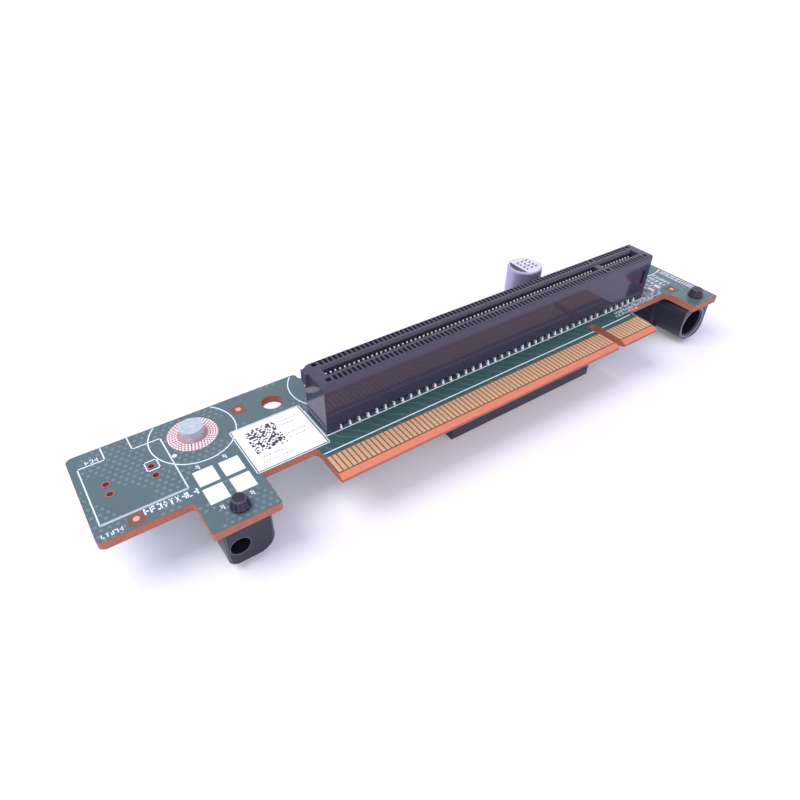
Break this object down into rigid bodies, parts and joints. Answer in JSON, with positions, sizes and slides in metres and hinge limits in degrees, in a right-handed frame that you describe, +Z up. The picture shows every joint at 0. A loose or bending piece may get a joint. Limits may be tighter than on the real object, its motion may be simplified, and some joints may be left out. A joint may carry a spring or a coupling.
{
  "type": "pcie riser card",
  "caption": "Green riser board with a gold card edge, a long black card slot on top, a short slot below, two guide sleeves and a can capacitor.",
  "frame": {"origin": "middle of the bounding box's base: the plane in which the short slot's open face and the standoffs' ends lie", "axes": "+X along the board towards the short group of fingers, +Y from the card edge into the board, +Z up out of the face that carries the long slot"},
  "size_m": [0.1469, 0.031, 0.0241],
  "materials": {
    "board_laminate": "green solder mask over glass-epoxy laminate, satin",
    "finger_gold": "hard gold plating, satin",
    "contact_tin": "tin plating, satin",
    "slot_plastic": "moulded black connector plastic, slightly glossy",
    "guide_plastic": "moulded black nylon, satin",
    "standoff_steel": "zinc-plated turned steel",
    "pad_copper": "bare copper with a solder finish",
    "label_paper": "matt white adhesive label",
    "can_aluminium": "coated aluminium can",
    "capacitor_plastic": "moulded black base",
    "chip_ceramic": "fired ceramic",
    "chip_resin": "resin-coated chip"
  },
  "bodies": {
    "root": {"circuit_board": "board_laminate", "edge_contacts_top": "finger_gold", "edge_contacts_bottom": "finger_gold", "long_slot_housing": "slot_plastic", "long_slot_contacts_near": "contact_tin", "long_slot_contacts_far": "contact_tin", "short_slot_housing": "slot_plastic", "short_slot_contacts_near": "contact_tin", "short_slot_contacts_far": "contact_tin", "guide_left": "guide_plastic", "guide_right": "guide_plastic", "standoff_left": "standoff_steel", "standoff_middle": "standoff_steel", "standoff_right": "standoff_steel", "standoff_pads": "pad_copper", "fiducials": "pad_copper", "switch_eyelets": "pad_copper", "label": "label_paper", "capacitor_can": "can_aluminium", "capacitor_base": "capacitor_plastic", "capacitor_leads": "contact_tin", "big_chip_body": "chip_ceramic", "big_chip_terminals": "contact_tin", "small_chip_bodies": "chip_resin", "small_chip_terminals": "contact_tin"}
  },
  "joints": []
}
